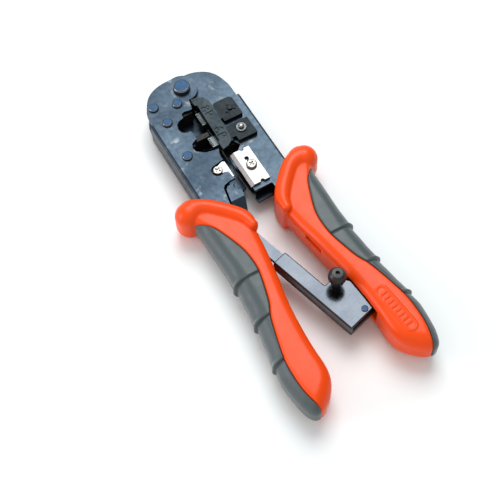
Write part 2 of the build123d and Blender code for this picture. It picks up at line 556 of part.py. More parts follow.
# ---- grips --------------------------------------------------------------------------------
LINK_SLOT_FIXED = flip([
    (-20.0, -84.0), (17.0, -84.0), (19.6, -95.0), (18.4, -112.0), (16.4, -124.0), (14.4, -142.0),
    (-20.0, -142.0),
], -1)
LINK_SLOT_MOVING = [
    (-20.0, -138.0), (15.4, -138.0), (28.0, -143.4), (29.4, -158.0), (25.0, -161.8), (-20.0, -161.8),
]
FRAME_POCKET = [(2.0, -60.0), (26.2, -60.0), (26.2, -94.6), (8.0, -94.6), (2.0, -94.6)]
HANDLE_POCKET = [
    (11.0, -80.0), (27.0, -80.0), (30.0, -120.0), (34.0, -150.0), (34.0, -178.2), (27.0, -182.6),
    (21.5, -176.4), (18.4, -160.2), (18.4, -145.8), (19.4, -136.0), (17.6, -118.0), (12.8, -98.0),
    (11.0, -95.0),
]


def grip_blank(side):
    """The whole rounded handle, hard and soft parts together, as one solid."""
    with BuildPart() as blank:
        extrude(smooth_face(flip(GRIP_OUTLINE, side), MID - GRIP_HALF), amount=2 * GRIP_HALF)
        rims = blank.edges().filter_by(
            lambda e: abs(abs(e.center().Z - MID) - GRIP_HALF) < 0.01)
        fillet(rims, radius=GRIP_ROUND)
    return blank


def guard_blank(side):
    """The hand guard as one solid."""
    with BuildPart() as blank:
        extrude(smooth_face(flip(GUARD_OUTLINE, side), MID - GUARD_HALF), amount=2 * GUARD_HALF)
        rims = blank.edges().filter_by(lambda e: abs(abs(e.center().Z - MID) - GUARD_HALF) < 0.01)
        fillet(rims, radius=GUARD_ROUND)
    return blank


def pocket_faces(side):
    """Faces of the pockets that hold the frame and the handle plates."""
    return [sharp_face(flip(outline, side), POCKET_LOW) for outline in (FRAME_POCKET, HANDLE_POCKET)]


def grip(side, link_slot):
    """Hard inner grip with its guard, hollow for the steel frame and the link."""
    with BuildPart() as shell:
        add(grip_blank(side).part)
        extrude(seam_face(side, 0), amount=2 * MID, mode=Mode.SUBTRACT)
        add(guard_blank(side).part)
        for face in pocket_faces(side):
            extrude(face, amount=POCKET_DEPTH, mode=Mode.SUBTRACT)
        extrude(sharp_face(link_slot, SLOT_LOW), amount=SLOT_HIGH - SLOT_LOW, mode=Mode.SUBTRACT)
    return shell


def overmould(side):
    """Soft outer part of a grip, wrapped round the hard part's outer side."""
    with BuildPart() as skin:
        add(grip_blank(side).part)
        extrude(seam_face(side, 0), amount=2 * MID, mode=Mode.INTERSECT)
        add(guard_blank(side).part, mode=Mode.SUBTRACT)
        for face in pocket_faces(side):
            extrude(face, amount=POCKET_DEPTH, mode=Mode.SUBTRACT)
    return skin


fixed_grip = grip(-1, LINK_SLOT_FIXED)
save(fixed_grip, "fixed_grip")
moving_grip = grip(1, LINK_SLOT_MOVING)
save(moving_grip, "moving_grip")
fixed_overmould = overmould(-1)
save(fixed_overmould, "fixed_overmould")
moving_overmould = overmould(1)
save(moving_overmould, "moving_overmould")

# ---- ratchet link -------------------------------------------------------------------------
with BuildPart() as link_pin:
    extrude(disc(LINK_L, LINK_PIN_R, BACK_Z), amount=FRONT_TOP - BACK_Z)
save(link_pin, "link_pin")

with BuildPart() as housing_pin:
    extrude(disc(HOUSING_PIN, LINK_PIN_R, CORE_BACK_Z), amount=CORE_FRONT_Z + CORE_THICK - CORE_BACK_Z)
save(housing_pin, "housing_pin")

BAR_END = 60.0
OPEN_PIVOT_CLEAR = 0.25
with BuildPart() as ratchet_bar:
    with BuildSketch(link_level(BAR_Z)) as bar_face:
        with Locations(((BAR_END) / 2, 0)):
            Rectangle(BAR_END, 2 * BAR_HALF)
        Circle(4.2)
        Circle(LINK_PIN_R + OPEN_PIVOT_CLEAR, mode=Mode.SUBTRACT)
        for tooth in range(12):
            along = 36.0 + tooth * TOOTH_PITCH
            with BuildLine():
                Polyline((along, BAR_HALF), (along + TOOTH_PITCH, BAR_HALF),
                         (along + TOOTH_PITCH - 0.2, BAR_HALF - TOOTH_DEPTH), close=True)
            make_face(mode=Mode.SUBTRACT)
    extrude(bar_face.sketch, amount=BAR_THICK)
save(ratchet_bar, "ratchet_bar")

HOUSING_OUTLINE = [
    (HOUSING_START, -HOUSING_HALF), (HOUSING_END, -HOUSING_HALF), (HOUSING_END, 17.0), (73.4, 21.6),
    (65.2, 22.2), (HOUSING_STEP + 6.0, 14.0), (HOUSING_STEP, 11.2), (HOUSING_STEP, HOUSING_HALF),
    (HOUSING_START, HOUSING_HALF),
]
KNOB_STEM_R = 2.1
with BuildPart() as ratchet_cover:
    extrude(sharp_face(HOUSING_OUTLINE, 0, 0.6, link_level(COVER_TOP - COVER_WALL)), amount=COVER_WALL)
    with BuildSketch(link_level(BASE_TOP)) as walls:
        with BuildLine():
            Polyline((HOUSING_START, -HOUSING_HALF), (HOUSING_END, -HOUSING_HALF),
                     (HOUSING_END, -HOUSING_HALF + COVER_WALL), (HOUSING_START, -HOUSING_HALF + COVER_WALL),
                     close=True)
        make_face()
        with BuildLine():
            Polyline((HOUSING_START, HOUSING_HALF), (HOUSING_STEP - 0.6, HOUSING_HALF),
                     (HOUSING_STEP - 0.6, HOUSING_HALF - COVER_WALL),
                     (HOUSING_START, HOUSING_HALF - COVER_WALL), close=True)
        make_face()
    extrude(walls.sketch, amount=COVER_TOP - COVER_WALL - BASE_TOP)
    with BuildSketch(link_level(COVER_TOP - COVER_WALL)) as openings:
        with Locations(HOUSING_PIVOT):
            Circle(LINK_PIN_R + PIN_FIT)
        with Locations(PAWL_PIVOT):
            Circle(1.2)
        with Locations((KNOB_AT[0], KNOB_AT[1] + 0.6)):
            SlotCenterToCenter(1.6, 2 * (KNOB_STEM_R + 0.4), rotation=90)
    extrude(openings.sketch, amount=COVER_WALL, mode=Mode.SUBTRACT)
    long_fold = ratchet_cover.edges().filter_by(
        lambda e: abs(LINK_PLANE.to_local_coords(e.center()).Y + HOUSING_HALF) < 0.01
        and abs(e.center().Z - COVER_TOP) < 0.01)
    fillet(long_fold, radius=0.8)
save(ratchet_cover, "ratchet_cover")

with BuildPart() as ratchet_base:
    extrude(sharp_face(HOUSING_OUTLINE, 0, 0.6, link_level(BASE_BOTTOM)), amount=BASE_TOP - BASE_BOTTOM)
    with BuildSketch(link_level(BASE_BOTTOM)) as base_holes:
        with Locations(HOUSING_PIVOT):
            Circle(LINK_PIN_R + PIN_FIT)
        with Locations(PAWL_PIVOT):
            Circle(1.2)
    extrude(base_holes.sketch, amount=BASE_TOP - BASE_BOTTOM, mode=Mode.SUBTRACT)
save(ratchet_base, "ratchet_base")

with BuildPart() as housing_bushing:
    with BuildSketch(link_level(BASE_TOP)) as ring:
        with Locations(HOUSING_PIVOT):
            Circle(3.6)
            Circle(LINK_PIN_R + PIN_FIT, mode=Mode.SUBTRACT)
    extrude(ring.sketch, amount=COVER_TOP - COVER_WALL - BASE_TOP)
save(housing_bushing, "housing_bushing")

with BuildPart() as pawl_pin:
    with BuildSketch(link_level(BASE_BOTTOM)) as pin_face:
        with Locations(PAWL_PIVOT):
            Circle(1.2)
    extrude(pin_face.sketch, amount=COVER_TOP - BASE_BOTTOM)
    with BuildSketch(link_level(COVER_TOP)) as pin_head:
        with Locations(PAWL_PIVOT):
            Circle(1.7)
    extrude(pin_head.sketch, amount=0.7)
    fillet(pawl_pin.edges().sort_by(Axis.Z)[-1], radius=0.4)
save(pawl_pin, "pawl_pin")

PAWL_Z = BAR_Z
PAWL_THICK = 2.5
PAWL_OUTLINE = [
    (74.6, 6.2), (74.8, 9.8), (71.4, 10.8), (60.0, 10.4), (53.0, 10.2), (52.4, 6.2), (54.2, 5.2),
    (55.2, 3.2), (56.4, 3.2), (58.6, 6.0), (68.0, 6.0),
]
with BuildPart() as pawl:
    extrude(sharp_face(PAWL_OUTLINE, 0, 0.2, link_level(PAWL_Z)), amount=PAWL_THICK)
    with BuildSketch(link_level(PAWL_Z)) as pawl_hole:
        with Locations(PAWL_PIVOT):
            Circle(1.2 + PIN_FIT)
    extrude(pawl_hole.sketch, amount=PAWL_THICK, mode=Mode.SUBTRACT)
save(pawl, "pawl")

KNOB_HEAD_R = 4.5
KNOB_HEAD_Z = 24.0
KNOB_NECK_R = 2.6
KNOB_LOW = KNOB_HEAD_Z - 3.8
KNOB_CENTRE = link_point(*KNOB_AT)
STEM_LOW = PAWL_Z + PAWL_THICK
with BuildPart() as knob_stem:
    extrude(disc(KNOB_CENTRE, KNOB_STEM_R, STEM_LOW), amount=KNOB_LOW - STEM_LOW)
save(knob_stem, "knob_stem")

with BuildPart() as release_knob:
    with BuildSketch(Plane.XZ.offset(-KNOB_CENTRE[1])) as profile:
        with BuildLine():
            centre_x = KNOB_CENTRE[0]
            Polyline((centre_x, KNOB_LOW), (centre_x + KNOB_NECK_R, KNOB_LOW),
                     (centre_x + KNOB_NECK_R, KNOB_LOW + 0.4))
            ThreePointArc((centre_x + KNOB_NECK_R, KNOB_LOW + 0.4), (centre_x + KNOB_HEAD_R, KNOB_HEAD_Z),
                          (centre_x + KNOB_NECK_R, KNOB_HEAD_Z + 3.7))
            Polyline((centre_x + KNOB_NECK_R, KNOB_HEAD_Z + 3.7), (centre_x, KNOB_HEAD_Z + 4.0),
                     (centre_x, KNOB_LOW))
        make_face()
    revolve(profile.sketch, axis=Axis((*KNOB_CENTRE, 0), (0, 0, 1)))
    with BuildSketch(Plane.XY.offset(KNOB_HEAD_Z + 4.1)) as socket:
        with Locations(KNOB_CENTRE):
            RegularPolygon(1.2, 6)
    extrude(socket.sketch, amount=-1.8, mode=Mode.SUBTRACT)
save(release_knob, "release_knob")


def coil(start, direction, length, radius, wire, turns):
    """A round-wire compression spring that runs from a point in a direction."""
    with BuildPart() as spring:
        with BuildLine() as path:
            Helix(pitch=length / turns, height=length, radius=radius, center=start, direction=direction)
        with BuildSketch(Plane(origin=path.line @ 0, z_dir=path.line % 0)):
            Circle(wire / 2)
        sweep()
    return spring


SPRING_WIRE = 0.4
SPRING_R = 1.1
SPRING_TURNS = 9
spring_start = (*link_point(BAR_END + 0.5, -0.6), BAR_Z + BAR_THICK / 2 + 0.1)
spring_length = HOUSING_END - BAR_END - 2.0
return_spring = coil(spring_start, LINK_PLANE.x_dir, spring_length, SPRING_R, SPRING_WIRE, SPRING_TURNS)
save(return_spring, "return_spring")
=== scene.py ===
import json
from math import radians

import bpy
import numpy as np
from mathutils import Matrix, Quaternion, Vector


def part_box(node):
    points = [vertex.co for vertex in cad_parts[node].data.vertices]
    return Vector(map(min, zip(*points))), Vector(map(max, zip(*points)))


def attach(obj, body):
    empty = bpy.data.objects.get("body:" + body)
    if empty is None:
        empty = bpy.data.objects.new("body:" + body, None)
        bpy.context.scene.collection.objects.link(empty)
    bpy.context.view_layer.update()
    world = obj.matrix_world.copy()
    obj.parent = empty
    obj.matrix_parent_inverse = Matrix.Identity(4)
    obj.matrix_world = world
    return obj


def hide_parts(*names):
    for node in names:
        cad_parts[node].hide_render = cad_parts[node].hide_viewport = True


# Looks of the crimping tool: two-colour moulded grips, finishes of every metal part, studio and camera.
# Shapes are written in millimetres in the tool's own frame, for the +X handle, and mirrored for the other.
MM = 0.001

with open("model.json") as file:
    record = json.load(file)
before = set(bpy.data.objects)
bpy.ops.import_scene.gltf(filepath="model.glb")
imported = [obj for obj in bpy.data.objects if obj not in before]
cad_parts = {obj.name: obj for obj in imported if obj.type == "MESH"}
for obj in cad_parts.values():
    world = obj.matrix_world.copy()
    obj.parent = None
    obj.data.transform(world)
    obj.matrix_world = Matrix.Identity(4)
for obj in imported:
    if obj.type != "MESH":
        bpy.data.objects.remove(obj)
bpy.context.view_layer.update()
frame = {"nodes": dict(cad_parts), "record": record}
nodes = frame["nodes"]


# ---- sizes taken from the frame -----------------------------------------------------------
def level(node, corner):
    """Height in millimetres of a node's lowest (0) or highest (1) point."""
    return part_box(node)[corner].z / MM


GRIP_LOW = level("fixed_overmould", 0)
GRIP_HIGH = level("fixed_overmould", 1)
GUARD_LOW = level("fixed_grip", 0)
GUARD_HIGH = level("fixed_grip", 1)
MID = (GUARD_LOW + GUARD_HIGH) / 2
COVER_TOP = level("ratchet_cover", 1)
BASE_LOW = level("ratchet_base", 0)

GUARD_RADIUS = 4.2          # half the width of the rounded guard
GUARD_TAPER = 1.7           # how much thinner it gets at its inner end
EAR_SWELL = 2.8             # how much wider it gets at its outer end, the ear
CREASE_DROP = 1.6           # how far the grip's flat face lies below the guard at the crease
INNER_ROUND = 4.6           # edge rounding towards the other handle
OUTER_ROUND = 7.6           # edge rounding on the palm side
TIP_ROUND = 7.0
EAR_ROUND = 3.6
RIM_ROUND = 1.1             # rounded rim of the hard grip along the seam
SKIN_ROUND = 0.7            # rounded edge of the soft skin along the seam
SEAM_GAP = 0.36             # width of the dark line between the two materials
SEAM_DEPTH = 2.2
ROOT_FILLET = 0.9           # crease between the guard and the handle
SLOT_ROUND = 0.35           # rounded mouth of the link slots
SKIN_CLEARANCE = 0.15       # soft skin to guard
SKIN_END_ROUND = 0.4        # rounded end of the soft skin at the guard
EDGE_SAG = 0.5              # how much the flat faces fall off towards the outline
GROOVES = (-116.8, -138.9, -161.3)
GROOVE_DEPTH = 0.9
GROOVE_WIDTH = 0.45
BEAD_HEIGHT = 0.8
SEGMENT_FLARE = 0.35        # how far a segment swells just above a groove
SEGMENT_DIP = 0.35          # how far the next one shrinks just below it

# Outline of a handle seen from above, from the neck down the inner side and back up the outer side
# to the ear of the guard.
HANDLE_OUTLINE = [
    (8.4, -95.0), (9.6, -104.0), (11.3, -113.5), (13.1, -124.0), (15.6, -138.0), (16.9, -151.0),
    (17.4, -162.0), (17.3, -171.0), (18.0, -177.5), (20.4, -182.6), (24.8, -187.4), (30.4, -190.4),
    (34.2, -189.0), (36.4, -184.0), (37.5, -178.0), (38.2, -171.0), (38.2, -165.0), (36.8, -157.0),
    (35.4, -147.0), (34.1, -136.0), (33.2, -124.0), (32.8, -113.0), (32.9, -103.0), (33.3, -92.0),
    (33.7, -83.0), (34.0, -77.0), (36.0, -72.6), (37.4, -68.6), (35.6, -65.6), (30.4, -64.6),
    (22.8, -68.0), (15.8, -74.4), (10.2, -81.4), (7.8, -88.0),
]
# Line on the flat faces between the hard grip and the soft skin.
SEAM_LINE = [
    (38.5, -75.4), (33.3, -77.2), (27.2, -84.0), (23.4, -93.0), (20.6, -101.8), (19.8, -109.0),
    (20.1, -116.4), (21.8, -124.2), (24.4, -133.4), (27.2, -139.4), (29.4, -146.8), (31.2, -154.0),
    (32.8, -161.3), (33.4, -170.0), (33.0, -178.5), (31.6, -185.0), (28.9, -194.0),
]
# Middle line of the guard that keeps the hand off the jaws.
GUARD_LINE = [
    (33.4, -69.8), (29.6, -69.0), (24.8, -70.9), (18.6, -76.6), (13.2, -82.8), (10.6, -87.6),
    (9.6, -92.4),
]
# Slots in the inner sides that the ratchet link swings in, and the slit beside the pivot.
SLOT_FIXED = [
    (-20.0, -84.0), (17.0, -84.0), (19.6, -95.0), (18.4, -112.0), (16.4, -124.0), (14.4, -142.0),
    (-20.0, -142.0),
]
SLOT_MOVING = [
    (-20.0, -138.0), (15.4, -138.0), (28.0, -143.4), (29.4, -158.0), (25.0, -161.8), (-20.0, -161.8),
]
SLIT = [(-20.0, -109.0), (14.0, -109.0), (15.0, -120.4), (-20.0, -120.4)]
SLIT_LOW, SLIT_HIGH = 12.6, 16.0
BADGE = (25.0, -165.8)      # middle of the raised oval on the moving grip
BADGE_TILT = 5.7
BADGE_LENGTH = 27.6
BADGE_WIDTH = 6.4
BADGE_RIBS = 8
BADGE_RELIEF = 0.4
SLOT_LOW = BASE_LOW - 0.8
SLOT_HIGH = COVER_TOP + 0.8
# Boxes that the grips and skins are sampled in: nearest and farthest x, top and bottom y.
HARD_BOX = (4.0, 41.5, -61.5, -192.0)
SKIN_BOX = (17.5, 41.5, -72.0, -192.0)
BOX_LOW, BOX_HIGH = -0.5, 22.5
HARD_STEP = 0.5             # sampling step
SKIN_STEP = 0.45


# ---- field kit: shapes as signed distances, negative inside ---------------------------------
def smooth_line(points, closed, steps=6):
    """Catmull-Rom curve through points, as an array of points."""
    points = np.array(points, float)
    if closed:
        padded = np.vstack([points[-1], points, points[:2]])
    else:
        padded = np.vstack([2 * points[0] - points[1], points, 2 * points[-1] - points[-2]])
    t = np.linspace(0, 1, steps, endpoint=False)[:, None]
    spans = []
    for a, b, c, d in zip(padded, padded[1:], padded[2:], padded[3:]):
        spans.append(0.5 * (2 * b + (c - a) * t + (2 * a - 5 * b + 4 * c - d) * t ** 2
                            + (3 * b - a - 3 * c + d) * t ** 3))
    if not closed:
        spans.append(points[-1:])
    return np.vstack(spans)


def segment_square(x, y, a, b):
    """Squared distance to one segment, and on which side of it each point is."""
    dx, dy = b - a
    px, py = x - a[0], y - a[1]
    t = np.clip((px * dx + py * dy) / (dx * dx + dy * dy), 0, 1)
    return (px - t * dx) ** 2 + (py - t * dy) ** 2, dx * py - dy * px


def inside_distance(x, y, loop):
    """Distance to a closed loop, negative inside."""
    best = np.full(np.shape(x), 1e9)
    inside = np.zeros(np.shape(x), bool)
    for a, b in zip(loop, np.roll(loop, -1, axis=0)):
        square, _ = segment_square(x, y, a, b)
        best = np.minimum(best, square)
        if a[1] != b[1]:
            reach = a[0] + (y - a[1]) * (b[0] - a[0]) / (b[1] - a[1])
            inside ^= ((a[1] > y) != (b[1] > y)) & (x < reach)
    return np.where(inside, -1, 1) * np.sqrt(best)


def side_distance(x, y, line):
    """Distance to an open line, positive on its left."""
    best = np.full(np.shape(x), 1e9)
    side = np.ones(np.shape(x))
    for a, b in zip(line, line[1:]):
        square, cross = segment_square(x, y, a, b)
        nearer = square < best
        best = np.where(nearer, square, best)
        side = np.where(nearer, np.where(cross < 0, -1, 1), side)
    return side * np.sqrt(best)


def ramp(value, start, end):
    """0 before start, 1 after end, smooth in between."""
    t = np.clip((value - start) / (end - start), 0, 1)
    return t * t * (3 - 2 * t)


def round_and(a, b, radius):
    """What lies in both fields, with the edge between them rounded."""
    p, q = a + radius, b + radius
    return np.minimum(np.maximum(p, q), 0) + np.hypot(np.maximum(p, 0), np.maximum(q, 0)) - radius


def soft_or(a, b, radius):
    """What lies in either field, with a fillet in the crease between them."""
    h = np.maximum(radius - np.abs(a - b), 0) / radius
    return np.minimum(a, b) - h * h * radius / 4


def net(values):
    """Vertices, in grid steps, and quads of the zero level of a sampled field."""
    size = np.array(values.shape) - 1
    total = np.zeros((*size, 3))
    count = np.zeros(size)
    edges = []
    for axis in range(3):
        low = np.moveaxis(values, axis, 0)[:-1]
        high = np.moveaxis(values, axis, 0)[1:]
        crossed = (low < 0) != (high < 0)
        share = np.where(crossed, low / np.where(crossed, low - high, 1), 0)
        edges.append((low < 0, crossed))
        others = [k for k in range(3) if k != axis]
        for j in (0, 1):
            for k in (0, 1):
                here = crossed[:, j:crossed.shape[1] - 1 + j, k:crossed.shape[2] - 1 + k]
                part = share[:, j:crossed.shape[1] - 1 + j, k:crossed.shape[2] - 1 + k]
                np.moveaxis(count, axis, 0)[...] += here
                np.moveaxis(total[..., axis], axis, 0)[...] += part
                np.moveaxis(total[..., others[0]], axis, 0)[...] += j * here
                np.moveaxis(total[..., others[1]], axis, 0)[...] += k * here
    used = count > 0
    number = np.full(count.shape, -1)
    number[used] = np.arange(used.sum())
    corners = np.argwhere(used) + total[used] / count[used][:, None]
    quads = []
    for axis, (inside, crossed) in enumerate(edges):
        cell = np.moveaxis(number, axis, 0)
        at = np.argwhere(crossed[:, 1:-1, 1:-1])
        i, j, k = at[:, 0], at[:, 1] + 1, at[:, 2] + 1
        quad = np.stack([cell[i, j - 1, k - 1], cell[i, j, k - 1], cell[i, j, k], cell[i, j - 1, k]], 1)
        turn = inside[i, j, k] == (axis == 1)
        quad[turn] = quad[turn][:, ::-1]
        quads.append(quad)
    return corners, np.vstack(quads)


def settle(field, points, most, rounds=4, probe=0.02):
    """Moves points onto a field's zero level, each by a limited step."""
    for _ in range(rounds):
        slope = np.stack([
            (field(*(points + shift).T) - field(*(points - shift).T)) / (2 * probe)
            for shift in np.eye(3) * probe
        ], 1)
        length = np.maximum((slope ** 2).sum(1), 0.05)
        step = -(field(*points.T) / length)[:, None] * slope
        size = np.maximum(np.linalg.norm(step, axis=1), 1e-9)[:, None]
        points = points + step * np.minimum(1, most / size)
    return points


def moulding(name, field, low, high, step):
    """A closed mesh object on the zero level of a field, inside a box given in millimetres."""
    step = step
    axes = [np.arange(a - 2 * step, b + 2 * step, step) for a, b in zip(low, high)]
    x, y = np.meshgrid(axes[0], axes[1], indexing="ij")
    values = field(x[..., None], y[..., None], axes[2][None, None, :])
    corners, quads = net(values)
    points = np.array([axis[0] for axis in axes]) + corners * step
    points = settle(field, points, step / 2)
    mesh = bpy.data.meshes.new(name)
    mesh.from_pydata((points * MM).tolist(), [], quads.tolist())
    mesh.shade_smooth()
    mesh.update()
    piece = bpy.data.objects.new(name, mesh)
    bpy.context.scene.collection.objects.link(piece)
    return piece


# ---- handle shapes ------------------------------------------------------------------------
OUTLINE = smooth_line(HANDLE_OUTLINE, True)
SEAM = smooth_line(SEAM_LINE, False)
GUARD = smooth_line(GUARD_LINE, False)


def guard_distance(x, y):
    return np.abs(side_distance(x, y, GUARD))


def handle_body(x, y, z):
    """Distances to the outline and to the seam, and the field of the handle below the guard."""
    plan = inside_distance(x, y, OUTLINE)
    across = side_distance(x, y, SEAM)
    rounding = INNER_ROUND + (OUTER_ROUND - INNER_ROUND) * ramp(across, -4, 4)
    rounding = rounding + (TIP_ROUND - rounding) * ramp(-y, 172, 186)
    rounding = rounding + (EAR_ROUND - rounding) * ramp(y, -82, -74)
    near_guard = 1 - ramp(guard_distance(x, y), 3, 26)
    half = (GRIP_HIGH - GRIP_LOW) / 2 - CREASE_DROP * near_guard
    half = half - EDGE_SAG * ramp(-plan, 8, 0)
    return plan, across, round_and(plan, np.abs(z - MID) - half, rounding)


def guard_roll(x, y, z):
    """Rounded upright guard, with a full round ear and thinner towards its inner end."""
    radius = GUARD_RADIUS + EAR_SWELL * ramp(x, 24.5, 33.5) - GUARD_TAPER * ramp(-y, 83, 93)
    tall = np.maximum(np.abs(z - MID) - (GUARD_HIGH - GUARD_LOW) / 2 + radius, 0)
    return np.hypot(guard_distance(x, y), tall) - radius


def seam_channel(across, z):
    """Narrow dark gap between the two materials, only as deep as it shows."""
    deep = (GRIP_HIGH - GRIP_LOW) / 2 - SEAM_DEPTH - np.abs(z - MID)
    return np.maximum(np.abs(across) - SEAM_GAP / 2, deep)


def side_slot(x, y, z, outline, low=SLOT_LOW, high=SLOT_HIGH):
    """Opening in an inner side, between two heights."""
    plan = inside_distance(x, y, np.array(outline, float))
    return np.maximum(plan, np.abs(z - (low + high) / 2) - (high - low) / 2)


def badge_relief(x, y, z):
    """Raised oval frame with plain cross ribs on the top face, as a height."""
    turn = radians(BADGE_TILT)
    dx, dy = x - BADGE[0], y - BADGE[1]
    along = dx * np.sin(turn) - dy * np.cos(turn)
    aside = dx * np.cos(turn) + dy * np.sin(turn)
    straight = (BADGE_LENGTH - BADGE_WIDTH) / 2
    oval = np.hypot(np.maximum(np.abs(along) - straight, 0), aside) - BADGE_WIDTH / 2
    frame_rib = 1 - ramp(np.abs(oval + 0.5), 0.25, 0.7)
    pitch = 2 * straight / BADGE_RIBS
    phase = np.abs((along + straight) / pitch % 1 - 0.5) * pitch
    ribs = (1 - ramp(phase, 0.3, 0.8)) * (1 - ramp(np.abs(aside), 1.3, 1.8)) * (np.abs(along) < straight)
    return BADGE_RELIEF * np.maximum(frame_rib, ribs) * (z > MID)


def fixed_hard(x, y, z):
    """Field of the fixed handle's hard grip with its guard."""
    _, across, body = handle_body(x, y, z)
    hard = round_and(body, across, RIM_ROUND)
    hard = soft_or(hard, guard_roll(x, y, z), ROOT_FILLET)
    hard = np.maximum(hard, -seam_channel(across, z))
    return round_and(hard, -side_slot(x, y, z, SLOT_FIXED), SLOT_ROUND)


def moving_hard(x, y, z):
    """Field of the moving handle's hard grip, with its guard, slit and badge."""
    _, across, body = handle_body(x, y, z)
    hard = round_and(body - badge_relief(x, y, z), across, RIM_ROUND)
    hard = soft_or(hard, guard_roll(x, y, z), ROOT_FILLET)
    hard = np.maximum(hard, -seam_channel(across, z))
    hard = np.maximum(hard, -side_slot(x, y, z, SLIT, SLIT_LOW, SLIT_HIGH))
    return round_and(hard, -side_slot(x, y, z, SLOT_MOVING), SLOT_ROUND)


def soft_skin(x, y, z):
    """Field of the soft skin: four stepped segments, each ending in a bead and a groove."""
    plan, across, body = handle_body(x, y, z)
    outer = 0.3 + 0.7 * ramp(-plan, 6, 1)
    swell = 0.0
    for groove in GROOVES:
        above = y - groove
        bead = BEAD_HEIGHT * ramp(above, 0.1, 1.0) * (1 - ramp(above, 1.0, 3.2))
        flare = SEGMENT_FLARE * ramp(above, 0.1, 0.6) * (1 - ramp(above, 2.0, 12.0))
        dip = SEGMENT_DIP * ramp(-above, 0.0, 0.4) * (1 - ramp(-above, 1.0, 8.0))
        trench = GROOVE_DEPTH * np.exp(-(above / GROOVE_WIDTH) ** 2)
        swell = swell + (bead + flare - dip) * outer - trench
    skin = round_and(body - swell, -across, SKIN_ROUND)
    skin = np.maximum(skin, -seam_channel(across, z))
    clear = guard_roll(x, y, z) - SKIN_CLEARANCE
    return round_and(skin, -clear, SKIN_END_ROUND)


def mirrored(field, side):
    """The field of the +X handle, or of its mirror image for side -1."""
    return lambda x, y, z: field(side * x, y, z)


def handle_box(side, near, far, top, bottom):
    """Lowest and highest corner of a sampling box on one side."""
    left, right = sorted((side * near, side * far))
    return (left, bottom, BOX_LOW), (right, top, BOX_HIGH)


# ---- materials ----------------------------------------------------------------------------
def finish(name, **sockets):
    """A new node material, its node tree and its shader, with constants set on the shader."""
    material = bpy.data.materials.new(name)
    material.use_nodes = True
    tree = material.node_tree
    shader = tree.nodes["Principled BSDF"]
    for key, value in sockets.items():
        shader.inputs[key.replace("_", " ")].default_value = value
    return material, tree, shader


def noise(tree, scale, detail=3.0, roughness=0.55, stretch=(1, 1, 1)):
    """Noise in the piece's own coordinates; scale is in features per metre."""
    place = tree.nodes.new("ShaderNodeTexCoord")
    mapping = tree.nodes.new("ShaderNodeMapping")
    mapping.inputs["Scale"].default_value = stretch
    texture = tree.nodes.new("ShaderNodeTexNoise")
    texture.inputs["Scale"].default_value = scale
    texture.inputs["Detail"].default_value = detail
    texture.inputs["Roughness"].default_value = roughness
    tree.links.new(place.outputs["Object"], mapping.inputs["Vector"])
    tree.links.new(mapping.outputs["Vector"], texture.inputs["Vector"])
    return texture.outputs["Fac"]


def spread(tree, value, stops):
    """A colour ramp driven by a value; stops are (place, colour)."""
    node = tree.nodes.new("ShaderNodeValToRGB")
    ramp_points = node.color_ramp.elements
    while len(ramp_points) < len(stops):
        ramp_points.new(0.5)
    for point, (place, colour) in zip(ramp_points, stops):
        point.position = place
        point.color = (*colour, 1)
    tree.links.new(value, node.inputs["Fac"])
    return node.outputs["Color"]


def between(tree, value, low, high):
    """A value remapped from the middle of a noise's range, 0.3 to 0.7, to low..high."""
    node = tree.nodes.new("ShaderNodeMapRange")
    node.inputs["From Min"].default_value = 0.3
    node.inputs["From Max"].default_value = 0.7
    node.inputs["To Min"].default_value = low
    node.inputs["To Max"].default_value = high
    tree.links.new(value, node.inputs["Value"])
    return node.outputs["Result"]


def bump(tree, shader, value, strength, distance):
    """Fine relief from a value."""
    node = tree.nodes.new("ShaderNodeBump")
    node.inputs["Strength"].default_value = strength
    node.inputs["Distance"].default_value = distance
    tree.links.new(value, node.inputs["Height"])
    tree.links.new(node.outputs["Normal"], shader.inputs["Normal"])


def facing(tree, stops):
    """A colour that depends on how far a surface faces up; it paints light and shade by surface direction.
    """
    place = tree.nodes.new("ShaderNodeNewGeometry")
    parts = tree.nodes.new("ShaderNodeSeparateXYZ")
    tree.links.new(place.outputs["Normal"], parts.inputs["Vector"])
    return spread(tree, parts.outputs["Z"], stops)


def plastic(name, colour, rough, grain, **sockets):
    """Moulded plastic: slight colour drift, uneven gloss and a fine eroded grain."""
    material, tree, shader = finish(name, **sockets)
    drift = noise(tree, 60, 4)
    dark = tuple(c * 0.97 for c in colour)
    light = tuple(min(1.0, c * 1.03) for c in colour)
    tree.links.new(spread(tree, drift, [(0.3, dark), (0.7, light)]), shader.inputs["Base Color"])
    gloss = noise(tree, 260, 5)
    tree.links.new(between(tree, gloss, rough - 0.05, rough + 0.05), shader.inputs["Roughness"])
    bump(tree, shader, noise(tree, grain, 3, 0.7), 0.12, 0.00008)
    return material


def metal(name, colours, rough, scale=90, stretch=(1, 1, 1), **sockets):
    """Rolled or ground metal: cloudy tone, streaks of gloss and fine scratches."""
    material, tree, shader = finish(name, **sockets)
    cloud = noise(tree, scale, 5, 0.6)
    tone = spread(tree, cloud, [(0.34, colours[0]), (0.66, colours[1])])
    tree.links.new(tone, shader.inputs["Base Color"])
    streak = noise(tree, 500, 4, 0.6, stretch)
    tree.links.new(between(tree, streak, rough - 0.06, rough + 0.08), shader.inputs["Roughness"])
    bump(tree, shader, noise(tree, 1600, 3, 0.6, stretch), 0.08, 0.00005)
    return material


